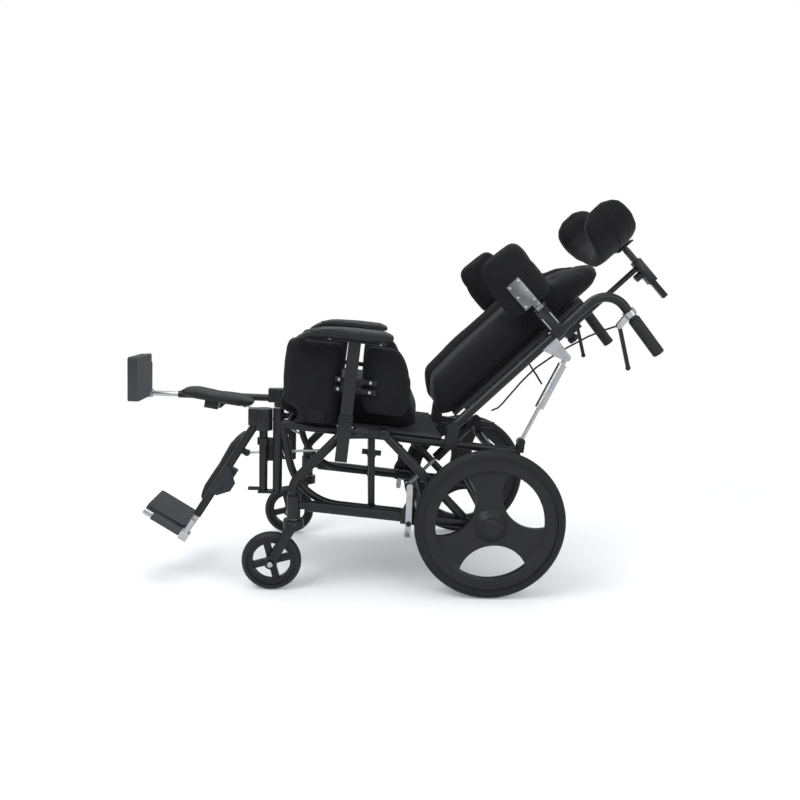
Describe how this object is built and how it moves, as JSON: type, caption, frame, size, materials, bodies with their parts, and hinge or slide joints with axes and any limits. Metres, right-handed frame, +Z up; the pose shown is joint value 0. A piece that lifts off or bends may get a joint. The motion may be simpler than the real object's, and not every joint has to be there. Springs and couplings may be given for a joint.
{
  "type": "tilt in space wheelchair",
  "caption": "Attendant-pushed tilt in space wheelchair with a reclining padded back, headrest, trunk supports, elevating legrests and solid rear wheels.",
  "frame": {"origin": "on the floor under the middle of the chair's bounding box", "axes": "+X towards the occupant's left, +Y towards the back, +Z up"},
  "size_m": [0.622, 1.5644, 1.0629],
  "materials": {
    "frame_paint": "satin hammered black paint",
    "zinc": "zinc plated",
    "knit_fabric": "matte knitted cover",
    "vinyl": "soft satin vinyl",
    "rubber": "matte",
    "wheel_plastic": "moulded black",
    "slate_plastic": "moulded slate grey"
  },
  "bodies": {
    "base": {"base_side_left": "frame_paint", "base_side_right": "frame_paint", "base_cross_tubes": "frame_paint", "base_hardware": "zinc", "wheel_lock_plates": "frame_paint"},
    "rear_wheel_left": {"rear_wheel_left": "wheel_plastic", "rear_tyre_left": "rubber"},
    "castor_fork_left": {"castor_fork_left": "frame_paint"},
    "castor_wheel_left": {"castor_wheel_left": "wheel_plastic"},
    "wheel_lock_left": {"wheel_lock_lever_left": "zinc"},
    "rear_wheel_right": {"rear_wheel_right": "wheel_plastic", "rear_tyre_right": "rubber"},
    "castor_fork_right": {"castor_fork_right": "frame_paint"},
    "castor_wheel_right": {"castor_wheel_right": "wheel_plastic"},
    "wheel_lock_right": {"wheel_lock_lever_right": "zinc"},
    "seat": {"seat_side_left": "frame_paint", "seat_side_right": "frame_paint", "seat_cross_frame": "frame_paint", "seat_sling": "knit_fabric", "seat_cushion": "knit_fabric", "armrest_sockets": "frame_paint"},
    "back": {"cane_left": "frame_paint", "cane_right": "frame_paint", "back_cross_bars": "frame_paint", "back_panel": "knit_fabric", "back_cushion": "knit_fabric", "hand_grips": "rubber", "lever_brackets": "zinc", "release_cables": "rubber", "lateral_arm_left": "frame_paint", "lateral_arm_right": "frame_paint"},
    "armrest_left": {"armrest_frame_left": "frame_paint", "armrest_pad_left": "vinyl", "side_pads_left": "knit_fabric"},
    "leg_hanger_left": {"leg_hanger_left": "frame_paint"},
    "legrest_left": {"legrest_left": "frame_paint"},
    "ratchet_rod_left": {"ratchet_rod_left": "zinc"},
    "calf_pad_left": {"calf_pad_left": "vinyl"},
    "footrest_tube_left": {"footrest_tube_left": "zinc"},
    "footplate_left": {"footplate_left": "slate_plastic"},
    "trunk_pad_left": {"lateral_pad_left": "knit_fabric"},
    "hand_lever_left": {"hand_lever_left": "zinc"},
    "armrest_right": {"armrest_frame_right": "frame_paint", "armrest_pad_right": "vinyl", "side_pads_right": "knit_fabric"},
    "leg_hanger_right": {"leg_hanger_right": "frame_paint"},
    "legrest_right": {"legrest_right": "frame_paint"},
    "ratchet_rod_right": {"ratchet_rod_right": "zinc"},
    "calf_pad_right": {"calf_pad_right": "vinyl"},
    "footrest_tube_right": {"footrest_tube_right": "zinc"},
    "footplate_right": {"footplate_right": "slate_plastic"},
    "trunk_pad_right": {"lateral_pad_right": "knit_fabric"},
    "hand_lever_right": {"hand_lever_right": "zinc"},
    "headrest_stem": {"headrest_stem": "frame_paint"},
    "headrest_bar": {"headrest_bar": "frame_paint"},
    "headrest_pad": {"headrest_pad": "knit_fabric"},
    "tilt_spring_cylinder": {"tilt_spring_cylinder": "frame_paint"},
    "tilt_spring_rod": {"tilt_spring_rod": "zinc"},
    "recline_spring_cylinder": {"recline_spring_cylinder": "frame_paint"},
    "recline_spring_rod": {"recline_spring_rod": "zinc"}
  },
  "joints": [
    {"name": "rear_wheel_left_spin", "type": "hinge", "parent": "base", "child": "rear_wheel_left", "pos_m": [0.2795, 0.246, 0.2], "axis": [1, 0, 0], "continuous": true},
    {"name": "castor_left_swivel", "type": "hinge", "parent": "base", "child": "castor_fork_left", "pos_m": [0.236, -0.27, 0.179], "axis": [0, 0, 1], "continuous": true},
    {"name": "castor_left_spin", "type": "hinge", "parent": "castor_fork_left", "child": "castor_wheel_left", "pos_m": [0.236, -0.327, 0.079], "axis": [1, 0, 0], "continuous": true},
    {"name": "wheel_lock_left_hinge", "type": "hinge", "parent": "base", "child": "wheel_lock_left", "pos_m": [0.236, 0.03272, 0.19123], "axis": [1, 0, 0], "range_deg": [0, 21]},
    {"name": "rear_wheel_right_spin", "type": "hinge", "parent": "base", "child": "rear_wheel_right", "pos_m": [-0.2795, 0.246, 0.2], "axis": [1, 0, 0], "continuous": true},
    {"name": "castor_right_swivel", "type": "hinge", "parent": "base", "child": "castor_fork_right", "pos_m": [-0.236, -0.27, 0.179], "axis": [0, 0, 1], "continuous": true},
    {"name": "castor_right_spin", "type": "hinge", "parent": "castor_fork_right", "child": "castor_wheel_right", "pos_m": [-0.236, -0.327, 0.079], "axis": [1, 0, 0], "continuous": true},
    {"name": "wheel_lock_right_hinge", "type": "hinge", "parent": "base", "child": "wheel_lock_right", "pos_m": [-0.236, 0.03272, 0.19123], "axis": [1, 0, 0], "range_deg": [0, 21]},
    {"name": "seat_tilt", "type": "hinge", "parent": "base", "child": "seat", "pos_m": [0, -0.037, 0.427], "axis": [-1, 0, 0], "range_deg": [0, 25]},
    {"name": "backrest_recline", "type": "hinge", "parent": "seat", "child": "back", "pos_m": [0, 0.14642, 0.44349], "axis": [-1, 0, 0], "range_deg": [-12, 10], "deforming": ["release_cables"]},
    {"name": "armrest_left_height", "type": "slide", "parent": "seat", "child": "armrest_left", "axis": [0, 0.0958, 0.9954], "range_m": [0, 0.06]},
    {"name": "legrest_left_swing", "type": "hinge", "parent": "seat", "child": "leg_hanger_left", "pos_m": [0.204, -0.354, 0.451], "axis": [0, 0, 1], "range_deg": [0, 90]},
    {"name": "legrest_left_elevate", "type": "hinge", "parent": "leg_hanger_left", "child": "legrest_left", "pos_m": [0.204, -0.368, 0.451], "axis": [-1, 0, 0], "range_deg": [0, 58]},
    {"name": "ratchet_rod_left_swing", "type": "hinge", "parent": "legrest_left", "child": "ratchet_rod_left", "pos_m": [0.184, -0.3992, 0.35861], "axis": [-1, 0, 0], "range_deg": [-29.31, 1]},
    {"name": "calf_pad_left_pitch", "type": "hinge", "parent": "legrest_left", "child": "calf_pad_left", "pos_m": [0.204, -0.44807, 0.27949], "axis": [-1, 0, 0], "range_deg": [-10, 10]},
    {"name": "footrest_left_length", "type": "slide", "parent": "legrest_left", "child": "footrest_tube_left", "axis": [0, -0.5255, -0.8508], "range_m": [-0.03, 0.04]},
    {"name": "footplate_left_flip", "type": "hinge", "parent": "footrest_tube_left", "child": "footplate_left", "pos_m": [0.204, -0.57401, 0.14218], "axis": [0, 0.8508, -0.5255], "range_deg": [0, 25]},
    {"name": "armrest_right_height", "type": "slide", "parent": "seat", "child": "armrest_right", "axis": [0, 0.0958, 0.9954], "range_m": [0, 0.06]},
    {"name": "legrest_right_swing", "type": "hinge", "parent": "seat", "child": "leg_hanger_right", "pos_m": [-0.204, -0.354, 0.451], "axis": [0, 0, -1], "range_deg": [0, 90]},
    {"name": "legrest_right_elevate", "type": "hinge", "parent": "leg_hanger_right", "child": "legrest_right", "pos_m": [-0.204, -0.368, 0.451], "axis": [-1, 0, 0], "range_deg": [-58, 0]},
    {"name": "ratchet_rod_right_swing", "type": "hinge", "parent": "legrest_right", "child": "ratchet_rod_right", "pos_m": [-0.184, -0.46337, 0.43066], "axis": [-1, 0, 0], "range_deg": [-1, 29.49]},
    {"name": "calf_pad_right_pitch", "type": "hinge", "parent": "legrest_right", "child": "calf_pad_right", "pos_m": [-0.204, -0.55636, 0.43228], "axis": [-1, 0, 0], "range_deg": [-10, 5]},
    {"name": "footrest_right_length", "type": "slide", "parent": "legrest_right", "child": "footrest_tube_right", "axis": [0, -0.9998, 0.0175], "range_m": [-0.03, 0.04]},
    {"name": "footplate_right_flip", "type": "hinge", "parent": "footrest_tube_right", "child": "footplate_right", "pos_m": [-0.204, -0.76671, 0.47096], "axis": [0, 0.0175, 0.9998], "range_deg": [0, 25]},
    {"name": "headrest_height", "type": "slide", "parent": "back", "child": "headrest_stem", "axis": [0, 0.7169, 0.6972], "range_m": [0, 0.06]},
    {"name": "headrest_depth", "type": "slide", "parent": "headrest_stem", "child": "headrest_bar", "axis": [0, -0.6972, 0.7169], "range_m": [-0.04, 0.04]},
    {"name": "headrest_tilt", "type": "hinge", "parent": "headrest_bar", "child": "headrest_pad", "pos_m": [0, 0.65115, 0.93571], "axis": [-1, 0, 0], "range_deg": [-4, 20]},
    {"name": "trunk_support_left_swing", "type": "hinge", "parent": "back", "child": "trunk_pad_left", "pos_m": [0.236, 0.35459, 0.76589], "axis": [0, 0.7169, 0.6972], "range_deg": [0, 90]},
    {"name": "release_lever_left_pull", "type": "hinge", "parent": "back", "child": "hand_lever_left", "pos_m": [0.204, 0.57679, 0.72531], "axis": [1, 0, 0], "range_deg": [0, 22], "stiffness_Nm_per_rad": 0.6, "springref_deg": -17.19},
    {"name": "trunk_support_right_swing", "type": "hinge", "parent": "back", "child": "trunk_pad_right", "pos_m": [-0.236, 0.35459, 0.76589], "axis": [0, -0.7169, -0.6972], "range_deg": [0, 90]},
    {"name": "release_lever_right_pull", "type": "hinge", "parent": "back", "child": "hand_lever_right", "pos_m": [-0.204, 0.57679, 0.72531], "axis": [1, 0, 0], "range_deg": [0, 22], "stiffness_Nm_per_rad": 0.6, "springref_deg": -17.19},
    {"name": "tilt_spring_swing", "type": "hinge", "parent": "seat", "child": "tilt_spring_cylinder", "pos_m": [0, 0.24009, 0.43548], "axis": [-1, 0, 0], "range_deg": [-7.18, 1]},
    {"name": "tilt_spring_stroke", "type": "slide", "parent": "tilt_spring_cylinder", "child": "tilt_spring_rod", "axis": [0, -0.6868, -0.7269], "range_m": [-0.0918, 0.002]},
    {"name": "recline_spring_swing", "type": "hinge", "parent": "back", "child": "recline_spring_cylinder", "pos_m": [0.204, 0.43977, 0.6367], "axis": [-1, 0, 0], "range_deg": [-2.96, 2.64]},
    {"name": "recline_spring_stroke", "type": "slide", "parent": "recline_spring_cylinder", "child": "recline_spring_rod", "axis": [0, -0.4295, -0.9031], "range_m": [-0.0331, 0.03932]}
  ],
  "couplings": [
    {"joint": "ratchet_rod_left_swing", "follows": "legrest_left_elevate", "ratio": -0.4881},
    {"joint": "ratchet_rod_right_swing", "follows": "legrest_right_elevate", "ratio": -0.4912},
    {"joint": "tilt_spring_swing", "follows": "seat_tilt", "ratio": -0.2472},
    {"joint": "tilt_spring_stroke", "follows": "seat_tilt", "m_per_rad": -0.2058},
    {"joint": "recline_spring_swing", "follows": "backrest_recline", "ratio": 0.1636},
    {"joint": "recline_spring_stroke", "follows": "backrest_recline", "m_per_rad": -0.17819}
  ]
}
